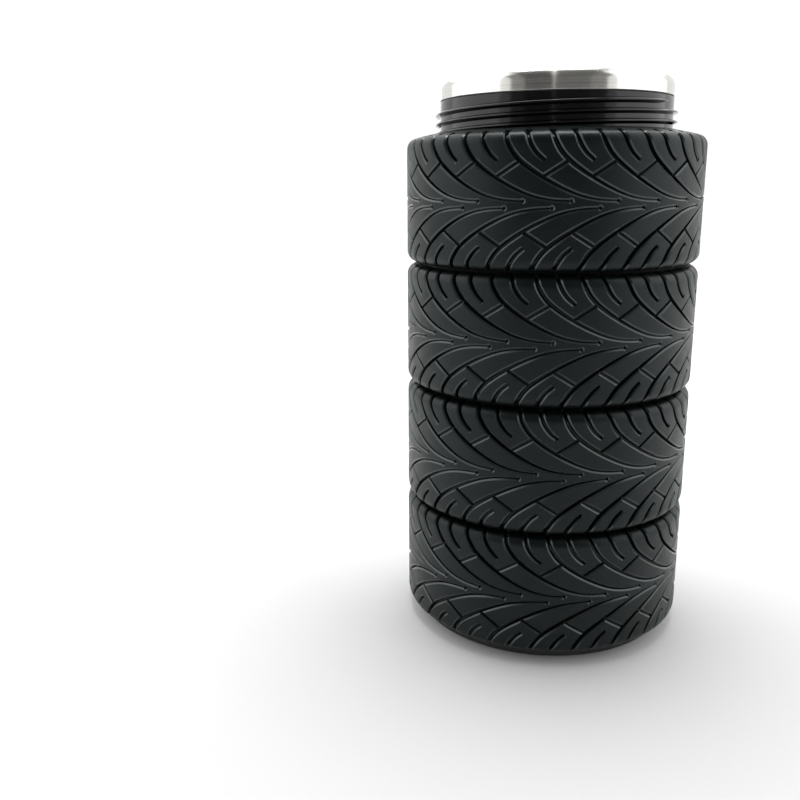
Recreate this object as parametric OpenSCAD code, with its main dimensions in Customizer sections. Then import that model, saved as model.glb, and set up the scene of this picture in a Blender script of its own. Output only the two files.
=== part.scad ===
// Open tumbler barrel: a steel-lined plastic core with a two-start threaded neck,
// carrying a stack of rubber tyre rings that turn on it, closed by a screw-in base cap.
// Millimetres, +Z up, origin at the centre of the underside.

/* [Tyre rings] */
// Outer diameter of every rubber tyre ring
tyre_od = 88; // [84:0.5:110]
// Height of one tyre ring
tyre_h = 36; // [28:0.5:44]
// Gap between neighbouring tyre rings
tyre_gap = 1; // [0.4:0.1:1.5]
// Rounding of the tread shoulders
shoulder = 2.9; // [1.5:0.1:3.2]
// Rise of the top ring's shoulder from its edge to the neck
crown_rise = 1.3; // [1:0.05:4]
// Repeats of the tread pattern around one ring
tread_repeats = 22; // [12:1:26]
// Depth of the tread grooves
tread_depth = 1.5; // [0.5:0.1:2]
// Width of the tread grooves at the shoulder
tread_groove = 1.5; // [1:0.1:2.5]

/* [Neck and core] */
// Diameter of the smooth neck band
neck_d = 68.3; // [56:0.1:70]
// Height of the neck between the top tyre and the steel rim
neck_h = 9.35; // [8:0.05:14]
// Step from the neck band out to the core tube
core_step = 2.3; // [1.5:0.1:3]
// Wall of the core tube
core_wall = 2; // [1.5:0.1:2.4]
// Wall of the hard hub inside each tyre ring
hub_wall = 1.95; // [1.5:0.05:2.4]
// Radial clearance of the hubs on the core tube and of the base spigot in it
running_gap = 0.05; // [0.02:0.01:0.1]

/* [Neck thread] */
// Height of the thread ridge over the neck band
ridge_h = 1.3; // [0.8:0.05:1.6]
// Advance of the thread in one turn
thread_lead = 5.3; // [4:0.1:7]
// Number of thread starts
thread_starts = 2; // [1:1:3]
// Direction in which the first ridge runs out at the top
thread_end_angle = -34; // [-180:1:180]

/* [Steel liner] */
// Sheet thickness of the liner
steel_t = 0.6; // [0.4:0.05:1]
// Height of the folded steel rim
rim_h = 6; // [4.5:0.05:8]
// Outer rounding of the rim
rim_round = 3.2; // [2.5:0.05:3.8]
// Width of the neck wall from the liner's bore to the rim's outside
mouth_wall = 4.36; // [4:0.02:6]
// Length of the straight bore below the rim
mouth_straight = 45; // [30:1:60]
// How far the bore narrows from the mouth to the floor
liner_taper = 1.9; // [0.5:0.1:3]
// Inside radius of the corner at the liner's floor
floor_round = 7; // [4:0.5:10]

/* [Base] */
// Height of the base cap's edge, foot pad included
base_h = 3.7; // [3:0.1:6]
// How far the foot pad stands out under the base cap
foot_stand = 0.8; // [0.5:0.1:1.5]
// How far the base cap's edge is set in from the tyre's outside
base_inset = 4; // [3:0.1:8]
// Length of the base cap's spigot inside the core tube
spigot_h = 8.8; // [6:0.2:12]
// Wall of the base cap's spigot
spigot_wall = 2; // [1.5:0.1:3]

/* [Hidden] */
$fn = 120;

rubber = [0.13, 0.14, 0.14];
hard_black = [0.05, 0.05, 0.055];
steel = [0.78, 0.77, 0.75];
foam = [0.86, 0.85, 0.8];
silicone = [0.5, 0.5, 0.5];

ring_count = 4;
face_gap = 0.05;      // between flat faces that turn past each other
seat_gap = 0.03;      // between round faces that are bonded or pressed
press_gap = 0.1;      // around soft or moulded pieces that are pushed into place
arc_steps = 6;        // chords in a quarter round
over = 1;             // how far a cutting tool reaches past what it cuts

tyre_r = tyre_od / 2;
neck_r = neck_d / 2;
core_r = neck_r + core_step;
core_bore = core_r - core_wall;
hub_bore = core_r + running_gap;
hub_r = hub_bore + hub_wall;

// Heights, from the floor up
stack_z = base_h + face_gap;
ring_pitch = tyre_h + tyre_gap;
top_mid = stack_z + (ring_count - 1) * ring_pitch + tyre_h / 2;
top_edge = top_mid + tyre_h / 2;
lip_gap = 1.5;
lip_drop = 0.6;
lip_r = neck_r + lip_gap;
lip_z = top_edge - lip_drop;
lip_top = top_edge + crown_rise;
flange_h = 1.6;
flange_top = lip_z - face_gap;
core_top = flange_top - flange_h;
neck_top = lip_top + neck_h;
gasket_h = 0.3;
gasket_inset = 0.15;
band_top = neck_top - gasket_h;
rim_top = neck_top + rim_h;
gasket_z = base_h + face_gap;
base_gasket_h = 0.45;
core_bottom = gasket_z + base_gasket_h;

// Liner
rim_overhang = 0.06;
mouth_roll = 0.9;     // radius of the rolled edge at the mouth
rim_r = neck_r + rim_overhang;
mouth_r = rim_r - mouth_wall;
spigot_r = core_bore - running_gap;
spigot_bore = spigot_r - spigot_wall;
disc_z = base_h + press_gap;
disc_h = 6.2;
disc_gap = 0.3;
cushion_z = disc_z + disc_h + press_gap;
cushion_h = 2.7;
cushion_inset = 1;
liner_z = cushion_z + cushion_h + press_gap;
straight_z = rim_top - mouth_straight;
taper_r = mouth_r - liner_taper;
corner_z = liner_z + steel_t + floor_round;
centring_z = corner_z + 1;
centring_h = 6;
foam_gap = 0.2;       // around the foam wrap
foam_end = 1;         // beyond its two ends

// Neck collar
skirt_h = 12;
skirt_r = core_bore - press_gap;
collar_bore = mouth_r + steel_t + press_gap;
fold_r = rim_r - steel_t;
seal_r = 0.8;         // section radius of the seal between collar and core tube
seal_groove = 1.6;    // depth of its groove
seal_z = core_top - skirt_h / 2;

// Thread: the ridges run between these distances from the rim and from the top tyre's lip
ridge_below_rim = 2.0;
ridge_above_lip = -0.35;
ridge_sink = 0.4;     // how deep a ridge is rooted in the neck
ridge_low = [0.85, 0.3];   // reach of a ridge below its middle, at the root and at the crest
ridge_high = [0.75, 0.2];  // reach above its middle
thread_turns = (neck_h - ridge_below_rim - ridge_above_lip) / thread_lead;

// Foot
foot_out = core_r + 1;
foot_width = 11;
foot_in = foot_out - foot_width;
foot_seat = 0.7;
edge_round = 1;       // rounding of the base cap's lower edge

// Points of a quarter-ellipse, from angle a0 to a1, about (cx, cz)
function arc(cx, cz, rx, rz, a0, a1, n = arc_steps) =
    [for (i = [0:n]) let (a = a0 + (a1 - a0) * i / n) [cx + rx * cos(a), cz + rz * sin(a)]];

// Top ring: the shoulder runs on for this far at a shallow slope before it rises to the lip
crown_run = 0.9;
crown_start = 0.5;

// Tread: slant of the cuts, and how far the lower half's repeats lag behind the upper half's
tread_slant = 28;
lower_lag = 0.4;
turn_per_ring = 0.27; // how far each ring is turned from its upper neighbour, in repeats
slip_inset = 2;       // how far the slip rings stay inside the tyres' flat faces

// Outer radius of the liner's tapered wall at height z
function liner_wall(z) =
    let (f = max(0, min(1, (z - corner_z) / (straight_z - corner_z))))
    taper_r + steel_t + liner_taper * f;

// A washer or tube between two radii and two heights
module tube(r_in, r_out, z_low, z_high) {
    translate([0, 0, z_low]) difference() {
        cylinder(h = z_high - z_low, r = r_out);
        translate([0, 0, -over]) cylinder(h = z_high - z_low + 2 * over, r = r_in);
    }
}

// Closed shell that follows the liner at an inset from its outside
function liner_outline(inset) = concat(
    [[0, liner_z + inset]],
    arc(taper_r - floor_round, corner_z,
        floor_round + steel_t - inset, floor_round + steel_t - inset, -90, 0),
    [[mouth_r + steel_t - inset, straight_z]]
);

module steel_liner() {
    rim_in = mouth_r + mouth_roll;
    color(steel) rotate_extrude() polygon(concat(
        liner_outline(0),
        [[mouth_r + steel_t, rim_top - mouth_roll - steel_t]],
        arc(rim_in, rim_top - mouth_roll - steel_t, mouth_roll - steel_t, mouth_roll, 180, 90, 3),
        arc(rim_in + press_gap, rim_top - rim_round, fold_r - rim_in - press_gap,
            rim_round - steel_t, 90, 0),
        [[fold_r, neck_top], [rim_r, neck_top]],
        arc(rim_in, rim_top - rim_round, rim_r - rim_in, rim_round, 0, 90),
        arc(rim_in, rim_top - mouth_roll, mouth_roll, mouth_roll, 90, 180, 3),
        [for (i = [len(liner_outline(steel_t)) - 1:-1:0]) liner_outline(steel_t)[i]]
    ));
}

module rim_gasket() {
    color(hard_black) tube(fold_r - seat_gap, neck_r - gasket_inset, band_top, neck_top);
}

// One thread ridge, swept up the neck band and fading out at both ends
module thread_ridge(turn_angle) {
    per_turn = 40;
    n = ceil(per_turn * thread_turns);
    top_z = neck_top - ridge_below_rim;
    function fade(i) = min(1, 0.1 + min(i, n - i) / (per_turn / 10));
    function station(i) =
        let (a = turn_angle - 360 * thread_turns * (1 - i / n),
             z = top_z - thread_lead * thread_turns * (1 - i / n),
             s = fade(i))
        [for (p = [[-ridge_sink, -ridge_low[0]], [ridge_h * s, -ridge_low[1] * s],
                   [ridge_h * s, ridge_high[1] * s], [-ridge_sink, ridge_high[0]]])
            [(neck_r + p[0]) * cos(a), (neck_r + p[0]) * sin(a), z + p[1]]];
    points = [for (i = [0:n]) each station(i)];
    sides = [for (i = [0:n - 1]) for (j = [0:3])
        let (p = 4 * i + j, q = 4 * i + (j + 1) % 4)
        each [[p, q, p + 4], [q, q + 4, p + 4]]];
    polyhedron(points, concat(sides, [[0, 2, 1], [0, 3, 2]],
        [[4 * n, 4 * n + 1, 4 * n + 2], [4 * n, 4 * n + 2, 4 * n + 3]]));
}

module neck_collar() {
    spigot_top = rim_top - rim_round - press_gap;
    skirt_z = core_top - skirt_h;
    color(hard_black) union() {
        difference() {
            union() {
                translate([0, 0, skirt_z]) cylinder(h = skirt_h + over, r = skirt_r);
                translate([0, 0, core_top]) cylinder(h = flange_h, r = core_r);
                translate([0, 0, core_top]) cylinder(h = band_top - core_top, r = neck_r);
                translate([0, 0, core_top]) cylinder(h = spigot_top - core_top, r = fold_r - rim_overhang);
            }
            translate([0, 0, skirt_z - over])
                cylinder(h = spigot_top - skirt_z + 2 * over, r = collar_bore);
            tube(skirt_r - seal_groove, skirt_r + over,
                seal_z - seal_r - press_gap, seal_z + seal_r + press_gap);
        }
        for (s = [0:thread_starts - 1])
            thread_ridge(thread_end_angle + 360 * s / thread_starts);
    }
}

module collar_seal() {
    color(silicone) translate([0, 0, seal_z])
        rotate_extrude() translate([core_bore - seal_r - seat_gap, 0]) circle(r = seal_r);
}

module core_tube() {
    color(hard_black) tube(core_bore, core_r, core_bottom, core_top);
}

// Outline of a tyre ring about its mid-height; the top ring rises to a lip at the neck
function tyre_outline(is_top) =
    let (half = tyre_h / 2,
         bore = hub_r + seat_gap,
         low = arc(tyre_r - shoulder, -half + shoulder, shoulder, shoulder, -90, 0),
         high = arc(tyre_r - shoulder, half - shoulder, shoulder, shoulder, 0, 90))
    is_top
        ? concat([[bore, -half]], low, high,
                 [[tyre_r - shoulder - crown_run, half + crown_start], [lip_r, half + crown_rise],
                  [lip_r, lip_z - top_mid], [bore, lip_z - top_mid]])
        : concat([[bore, -half]], low, high, [[bore, half]]);

// Slanting cuts through one shoulder, one in each repeat
module shoulder_cuts(side) {
    step = 360 / tread_repeats;
    length = tyre_h / 4;
    for (i = [0:tread_repeats - 1]) rotate([0, 0, (i + (side > 0 ? 0 : lower_lag)) * step])
        translate([tyre_r - tread_depth, 0, side * (tyre_h - length + over) / 2])
            rotate([side * tread_slant, 0, 0])
                translate([0, -tread_groove / 2, -length / 2 - over])
                    cube([tread_depth * 3, tread_groove, length + 2 * over]);
}

// A rubber tyre ring; level 0 is the bottom one
module tyre_ring(level) {
    color(rubber) translate([0, 0, stack_z + level * ring_pitch + tyre_h / 2])
        rotate([0, 0, -360 / tread_repeats * turn_per_ring * (ring_count - 1 - level)]) difference() {
            rotate_extrude() polygon(tyre_outline(level == ring_count - 1));
            shoulder_cuts(1);
            shoulder_cuts(-1);
        }
}

// The hard hub bonded inside a tyre ring
module hub_ring(level) {
    low = stack_z + level * ring_pitch;
    high = level == ring_count - 1 ? flange_top : low + tyre_h;
    color(hard_black) tube(hub_bore, hub_r, low, high);
}

// Thin slip ring between two tyre rings; level 0 is the lowest
module slip_ring(level) {
    low = stack_z + level * ring_pitch + tyre_h;
    color(hard_black)
        tube(core_r + seat_gap, tyre_r - shoulder - slip_inset,
            low + face_gap, low + tyre_gap - face_gap);
}

module top_tyre() { tyre_ring(3); }
module second_tyre() { tyre_ring(2); }
module third_tyre() { tyre_ring(1); }
module bottom_tyre() { tyre_ring(0); }
module top_hub() { hub_ring(3); }
module second_hub() { hub_ring(2); }
module third_hub() { hub_ring(1); }
module bottom_hub() { hub_ring(0); }
module upper_slip_ring() { slip_ring(2); }
module middle_slip_ring() { slip_ring(1); }
module lower_slip_ring() { slip_ring(0); }

module centring_ring() {
    high = centring_z + centring_h;
    color(silicone) tube(liner_wall(high) + press_gap, core_bore - press_gap, centring_z, high);
}

// Foam wrap between the liner and the core tube
module insulation_sleeve() {
    low = centring_z + centring_h + foam_end;
    high = core_top - skirt_h - foam_end;
    bend = min(straight_z, high - foam_end);
    color(foam) rotate_extrude() polygon([
        [liner_wall(low) + foam_gap, low], [core_bore - foam_gap, low], [core_bore - foam_gap, high],
        [liner_wall(high) + foam_gap, high], [liner_wall(bend) + foam_gap, bend]
    ]);
}

module liner_cushion() {
    color(silicone) translate([0, 0, cushion_z])
        cylinder(h = cushion_h, r = taper_r - floor_round - cushion_inset);
}

module insulation_disc() {
    color(foam) translate([0, 0, disc_z]) cylinder(h = disc_h, r = spigot_bore - disc_gap);
}

module base_gasket() {
    color(silicone) tube(core_bore + press_gap, core_r, base_h, base_h + base_gasket_h);
}

module base_cap() {
    edge_r = tyre_r - base_inset;
    color(hard_black) union() {
        difference() {
            rotate_extrude() polygon(concat(
                [[0, foot_stand]],
                arc(edge_r - edge_round, foot_stand + edge_round, edge_round, edge_round, -90, 0, 4),
                [[edge_r, base_h], [0, base_h]]
            ));
            tube(foot_in, foot_out, foot_stand - over, foot_stand + foot_seat);
        }
        tube(spigot_bore, spigot_r, base_h - foot_seat, base_h + spigot_h);
    }
}

module foot_pad() {
    color(rubber) tube(foot_in + seat_gap, foot_out - seat_gap, 0, foot_stand + foot_seat - seat_gap);
}

steel_liner();
rim_gasket();
neck_collar();
collar_seal();
core_tube();
top_tyre();
second_tyre();
third_tyre();
bottom_tyre();
top_hub();
second_hub();
third_hub();
bottom_hub();
upper_slip_ring();
middle_slip_ring();
lower_slip_ring();
insulation_sleeve();
centring_ring();
liner_cushion();
insulation_disc();
base_gasket();
base_cap();
foot_pad();
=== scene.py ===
"""Visual model of an open tumbler barrel: steel liner, threaded neck, rubber tyre rings, screwed base."""
import logging
import math
from dataclasses import dataclass, field
from enum import Enum
from typing import Callable, Iterable, Sequence

import bmesh
import bpy
from mathutils import Euler, Matrix, Vector


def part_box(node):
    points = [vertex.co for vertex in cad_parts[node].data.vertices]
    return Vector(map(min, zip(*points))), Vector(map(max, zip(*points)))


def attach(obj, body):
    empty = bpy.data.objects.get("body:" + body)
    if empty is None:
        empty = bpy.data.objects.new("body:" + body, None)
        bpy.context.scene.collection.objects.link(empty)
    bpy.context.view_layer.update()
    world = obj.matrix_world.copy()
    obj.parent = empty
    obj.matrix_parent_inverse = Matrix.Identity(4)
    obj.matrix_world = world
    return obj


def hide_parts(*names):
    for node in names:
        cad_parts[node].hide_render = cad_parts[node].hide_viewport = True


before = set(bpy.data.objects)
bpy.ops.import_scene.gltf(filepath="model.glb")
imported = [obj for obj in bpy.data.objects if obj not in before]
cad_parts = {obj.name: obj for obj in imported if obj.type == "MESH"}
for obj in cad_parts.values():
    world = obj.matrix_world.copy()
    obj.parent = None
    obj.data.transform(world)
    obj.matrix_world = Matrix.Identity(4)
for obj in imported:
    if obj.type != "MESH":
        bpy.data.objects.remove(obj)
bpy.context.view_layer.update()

log = logging.getLogger("tumbler_barrel")

MM = 0.001
NOISE_LOW, NOISE_HIGH = 0.3, 0.7  # noise values mostly lie between these
RIM_OVERHANG = 0.06  # how far the steel rim stands out over the neck band, in millimetres
LIP_GAP = 1.5  # between the neck band and the top ring's lip, wide enough for the thread ridges

Outline = list[tuple[float, float]]


# ---------------------------------------------------------------- mesh tools


def arc(cx: float, cz: float, rx: float, rz: float, start: float, end: float, steps: int) -> Outline:
    """Points of an elliptical arc in the (radius, height) plane.

    Args:
        cx: Radius of the arc's centre.
        cz: Height of the arc's centre.
        rx: Half-width of the ellipse.
        rz: Half-height of the ellipse.
        start: First angle in degrees.
        end: Last angle in degrees.
        steps: Number of chords.

    Returns:
        The points from start to end, both included.
    """
    points = []
    for i in range(steps + 1):
        a = math.radians(start + (end - start) * i / steps)
        points.append((cx + rx * math.cos(a), cz + rz * math.sin(a)))
    return points


def straight(low: tuple[float, float], high: tuple[float, float], steps: int) -> Outline:
    """Points between two outline points, so that long faces are divided.

    Args:
        low: First outline point.
        high: Last outline point.
        steps: Number of equal parts.

    Returns:
        The points in between, with both ends left out.
    """
    return [
        (low[0] + (high[0] - low[0]) * i / steps, low[1] + (high[1] - low[1]) * i / steps)
        for i in range(1, steps)
    ]


def new_object(
    name: str, vertices: Sequence[Sequence[float]], faces: Sequence[Sequence[int]]
) -> bpy.types.Object:
    """Links a new mesh object whose vertices are given in millimetres.

    Args:
        name: Name of the object and its mesh.
        vertices: Vertex places in millimetres.
        faces: Vertex indices of each face.

    Returns:
        The object, with its faces turned outwards.
    """
    mesh = bpy.data.meshes.new(name)
    mesh.from_pydata([Vector(v) * MM for v in vertices], [], [list(f) for f in faces])
    shell = bmesh.new()
    shell.from_mesh(mesh)
    bmesh.ops.recalc_face_normals(shell, faces=shell.faces)
    shell.to_mesh(mesh)
    shell.free()
    mesh.validate()
    piece = bpy.data.objects.new(name, mesh)
    bpy.context.scene.collection.objects.link(piece)
    return piece


def swept_faces(stations: int, sides: int) -> list[list[int]]:
    """Faces of a closed solid swept from equal sections.

    Args:
        stations: Number of sections.
        sides: Number of points in a section.

    Returns:
        Vertex indices of both ends and of every side face.
    """
    last = (stations - 1) * sides
    faces = [list(range(sides)), list(range(last, last + sides))]
    for i in range(stations - 1):
        for j in range(sides):
            a, b = i * sides + j, i * sides + (j + 1) % sides
            faces.append([a, b, b + sides, a + sides])
    return faces


def lathe(name: str, outline: Outline, segments: int) -> bpy.types.Object:
    """Turns a closed outline about the Z axis.

    Args:
        name: Name of the new object.
        outline: Closed outline as (radius, height) in millimetres; points on the axis have radius 0.
        segments: Number of facets round the axis.

    Returns:
        A closed solid of revolution.
    """
    vertices: list[tuple[float, float, float]] = []
    rings: list[list[int]] = []
    for radius, height in outline:
        first = len(vertices)
        if radius < 1e-6:
            vertices.append((0.0, 0.0, height))
            rings.append([first] * segments)
            continue
        for k in range(segments):
            a = 2 * math.pi * k / segments
            vertices.append((radius * math.cos(a), radius * math.sin(a), height))
        rings.append(list(range(first, first + segments)))
    faces = []
    for i, ring in enumerate(rings):
        following = rings[(i + 1) % len(rings)]
        for k in range(segments):
            n = (k + 1) % segments
            corners = list(dict.fromkeys([ring[k], ring[n], following[n], following[k]]))
            if len(corners) > 2:
                faces.append(corners)
    return new_object(name, vertices, faces)


def shade(piece: bpy.types.Object, sharp_over: float = 32.0) -> bpy.types.Object:
    """Shades a piece smooth and keeps its creases.

    Args:
        piece: Piece to shade.
        sharp_over: Angle in degrees between faces from which an edge stays sharp.

    Returns:
        The same piece.
    """
    for face in piece.data.polygons:
        face.use_smooth = True
    piece.data.set_sharp_from_angle(angle=math.radians(sharp_over))
    return piece


def freeze(piece: bpy.types.Object) -> bpy.types.Object:
    """Turns a piece's modifiers into plain mesh and removes them.

    Args:
        piece: Piece with modifiers.

    Returns:
        The same piece, with none.
    """
    bpy.context.view_layer.update()
    graph = bpy.context.evaluated_depsgraph_get()
    solid = bpy.data.meshes.new_from_object(piece.evaluated_get(graph), depsgraph=graph)
    piece.modifiers.clear()
    old = piece.data
    piece.data = solid
    solid.name = piece.name
    bpy.data.meshes.remove(old)
    return piece


def carve(blank: bpy.types.Object, cutters: Iterable[bpy.types.Object]) -> bpy.types.Object:
    """Cuts closed solids out of a blank and removes them.

    Args:
        blank: Closed solid that is cut.
        cutters: Closed solids to take away, one boolean each.

    Returns:
        The blank, with its cuts in its mesh.
    """
    cutters = list(cutters)
    for cutter in cutters:
        cut = blank.modifiers.new("cut", "BOOLEAN")
        cut.operation = "DIFFERENCE"
        cut.solver = "MANIFOLD"
        cut.object = cutter
    freeze(blank)
    for cutter in cutters:
        bpy.data.objects.remove(cutter, do_unlink=True)
    return blank


def repeat_tree() -> bpy.types.GeometryNodeTree:
    """Geometry Nodes tree that repeats a shape round the Z axis.

    Returns:
        A tree with the inputs Repeats, Turn (radians) and Finish.
    """
    name = "Repeat round the axis"
    if name in bpy.data.node_groups:
        return bpy.data.node_groups[name]
    tree = bpy.data.node_groups.new(name, "GeometryNodeTree")
    sockets = tree.interface
    sockets.new_socket("Geometry", in_out="INPUT", socket_type="NodeSocketGeometry")
    sockets.new_socket("Repeats", in_out="INPUT", socket_type="NodeSocketInt")
    sockets.new_socket("Turn", in_out="INPUT", socket_type="NodeSocketFloat")
    sockets.new_socket("Finish", in_out="INPUT", socket_type="NodeSocketMaterial")
    sockets.new_socket("Geometry", in_out="OUTPUT", socket_type="NodeSocketGeometry")
    nodes, link = tree.nodes, tree.links.new
    given = nodes.new("NodeGroupInput")
    result = nodes.new("NodeGroupOutput")
    points = nodes.new("GeometryNodePoints")
    index = nodes.new("GeometryNodeInputIndex")
    step = nodes.new("ShaderNodeMath")
    step.operation = "DIVIDE"
    step.inputs[0].default_value = 2 * math.pi
    angle = nodes.new("ShaderNodeMath")
    angle.operation = "MULTIPLY_ADD"
    about_z = nodes.new("ShaderNodeCombineXYZ")
    rotation = nodes.new("FunctionNodeEulerToRotation")
    copies = nodes.new("GeometryNodeInstanceOnPoints")
    real = nodes.new("GeometryNodeRealizeInstances")
    finish = nodes.new("GeometryNodeSetMaterial")
    link(given.outputs["Repeats"], points.inputs["Count"])
    link(given.outputs["Repeats"], step.inputs[1])
    link(index.outputs["Index"], angle.inputs[0])
    link(step.outputs[0], angle.inputs[1])
    link(given.outputs["Turn"], angle.inputs[2])
    link(angle.outputs[0], about_z.inputs["Z"])
    link(about_z.outputs[0], rotation.inputs[0])
    link(points.outputs[0], copies.inputs["Points"])
    link(given.outputs["Geometry"], copies.inputs["Instance"])
    link(rotation.outputs[0], copies.inputs["Rotation"])
    link(copies.outputs[0], real.inputs[0])
    link(real.outputs[0], finish.inputs["Geometry"])
    link(given.outputs["Finish"], finish.inputs["Material"])
    link(finish.outputs[0], result.inputs[0])
    return tree


def repeat(
    shape: bpy.types.Object, repeats: int, turn: float, finish: bpy.types.Material
) -> bpy.types.Object:
    """Repeats a shape round the Z axis and turns the result into plain mesh.

    Args:
        shape: Mesh of one repeat, in place.
        repeats: Number of copies round the axis.
        turn: Angle of the first copy in degrees.
        finish: Material of the copies.

    Returns:
        The same object, now holding all the copies.
    """
    tree = repeat_tree()
    modifier = shape.modifiers.new("repeat", "NODES")
    modifier.node_group = tree
    inputs = {s.name: s.identifier for s in tree.interface.items_tree if s.in_out == "INPUT"}
    modifier[inputs["Repeats"]] = repeats
    modifier[inputs["Turn"]] = math.radians(turn)
    modifier[inputs["Finish"]] = finish
    return freeze(shape)


def dress(piece: bpy.types.Object, finish: bpy.types.Material) -> bpy.types.Object:
    """Gives a piece one material.

    Args:
        piece: Piece to dress.
        finish: Its material.

    Returns:
        The same piece.
    """
    piece.data.materials.clear()
    piece.data.materials.append(finish)
    return piece


def hand_over(piece: bpy.types.Object, body: str, slot: str, *nodes: str) -> None:
    """Registers a finished piece with the frame and reports it.

    Args:
        piece: Finished piece.
        body: Body that it rides on.
        slot: Its material slot; not used.
        nodes: Frame nodes that it stands for.
    """
    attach(piece, body)
    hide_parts(*nodes)
    triangles = sum(len(face.vertices) - 2 for face in piece.data.polygons)
    log.info("%s: %d triangles, rides on %s, stands for %s", piece.name, triangles, body, ", ".join(nodes))


# ---------------------------------------------------------------- finishes


class NodeKit:
    """Short calls for building one material's node tree."""

    def __init__(self, name: str) -> None:
        """Starts an empty node material.

        Args:
            name: Name of the material.
        """
        self.material = bpy.data.materials.new(name)
        self.material.use_nodes = True
        self.tree = self.material.node_tree
        self.tree.nodes.clear()
        self.shader = self.tree.nodes.new("ShaderNodeBsdfPrincipled")
        output = self.tree.nodes.new("ShaderNodeOutputMaterial")
        self.link(self.shader.outputs[0], output.inputs["Surface"])
        self.place = self.tree.nodes.new("ShaderNodeTexCoord").outputs["Object"]

    def link(self, source: bpy.types.NodeSocket, target: bpy.types.NodeSocket) -> None:
        """Links two sockets.

        Args:
            source: Output socket.
            target: Input socket.
        """
        self.tree.links.new(source, target)

    def scaled(self, scale: Sequence[float]) -> bpy.types.NodeSocket:
        """Scales the object coordinates along each axis.

        Args:
            scale: Factor for X, Y and Z.

        Returns:
            The scaled coordinates' socket.
        """
        mapping = self.tree.nodes.new("ShaderNodeMapping")
        mapping.inputs["Scale"].default_value = scale
        self.link(self.place, mapping.inputs["Vector"])
        return mapping.outputs[0]

    def noise(
        self, scale: float, detail: float = 3.0, vector: bpy.types.NodeSocket | None = None
    ) -> bpy.types.NodeSocket:
        """Noise on the object coordinates.

        Args:
            scale: Waves per metre.
            detail: Number of octaves.
            vector: Coordinates to use in place of the object's.

        Returns:
            The noise value's socket.
        """
        node = self.tree.nodes.new("ShaderNodeTexNoise")
        node.inputs["Scale"].default_value = scale
        node.inputs["Detail"].default_value = detail
        self.link(vector or self.place, node.inputs["Vector"])
        return node.outputs["Fac"]

    def ramp(self, value: bpy.types.NodeSocket, low: float, high: float) -> bpy.types.NodeSocket:
        """Maps a noise value to a range.

        Args:
            value: Noise value's socket.
            low: Result at the low end of the noise.
            high: Result at its high end.

        Returns:
            The mapped value's socket.
        """
        node = self.tree.nodes.new("ShaderNodeMapRange")
        node.inputs["From Min"].default_value = NOISE_LOW
        node.inputs["From Max"].default_value = NOISE_HIGH
        node.inputs["To Min"].default_value = low
        node.inputs["To Max"].default_value = high
        self.link(value, node.inputs["Value"])
        return node.outputs[0]

    def blend(
        self, value: bpy.types.NodeSocket, first: Sequence[float], second: Sequence[float]
    ) -> bpy.types.NodeSocket:
        """Mixes two colours by a noise value.

        Args:
            value: Noise value's socket.
            first: Colour at the low end of the noise.
            second: Colour at its high end.

        Returns:
            The colour's socket.
        """
        node = self.tree.nodes.new("ShaderNodeValToRGB")
        node.color_ramp.elements[0].position = NOISE_LOW
        node.color_ramp.elements[1].position = NOISE_HIGH
        node.color_ramp.elements[0].color = (*first, 1.0)
        node.color_ramp.elements[1].color = (*second, 1.0)
        self.link(value, node.inputs["Fac"])
        return node.outputs["Color"]

    def bump(
        self, value: bpy.types.NodeSocket, height: float, after: bpy.types.NodeSocket | None = None
    ) -> bpy.types.NodeSocket:
        """Turns a value into a surface normal.

        Args:
            value: Height pattern from 0 to 1.
            height: Depth of the pattern in metres.
            after: Normal of an earlier bump to add to.

        Returns:
            The normal's socket.
        """
        node = self.tree.nodes.new("ShaderNodeBump")
        node.inputs["Strength"].default_value = 1.0
        node.inputs["Distance"].default_value = height
        self.link(value, node.inputs["Height"])
        if after is not None:
            self.link(after, node.inputs["Normal"])
        return node.outputs[0]

    def set(self, **values: float | Sequence[float]) -> None:
        """Sets the shader's own sockets.

        Args:
            values: Value for each socket; an underscore in a name stands for a space.
        """
        for name, value in values.items():
            self.shader.inputs[name.replace("_", " ")].default_value = value


@dataclass(frozen=True)
class Rubber:
    """Matt black moulded rubber with a faint blue-green cast."""

    name: str
    dark: tuple[float, float, float] = (0.0012, 0.0022, 0.0023)
    light: tuple[float, float, float] = (0.0028, 0.0042, 0.0043)
    roughness: tuple[float, float] = (0.35, 0.44)
    gloss: float = 0.26
    cast: tuple[float, float, float, float] = (0.86, 0.985, 0.98, 1.0)
    grain: float = 1800.0
    grain_depth: float = 0.000035
    cloud_scale: float = 90.0
    wear_scale: float = 260.0
    wave_scale: float = 160.0
    wave_depth: float = 0.00006

    def material(self) -> bpy.types.Material:
        """Builds the material.

        Returns:
            The node material.
        """
        kit = NodeKit(self.name)
        clouds = kit.noise(self.cloud_scale, 4.0)
        kit.link(kit.blend(clouds, self.dark, self.light), kit.shader.inputs["Base Color"])
        kit.link(kit.ramp(kit.noise(self.wear_scale), *self.roughness), kit.shader.inputs["Roughness"])
        soft = kit.bump(kit.noise(self.wave_scale, 2.0), self.wave_depth)
        kit.link(kit.bump(kit.noise(self.grain, 2.0), self.grain_depth, soft), kit.shader.inputs["Normal"])
        kit.set(Specular_IOR_Level=self.gloss, Specular_Tint=self.cast)
        return kit.material


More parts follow.
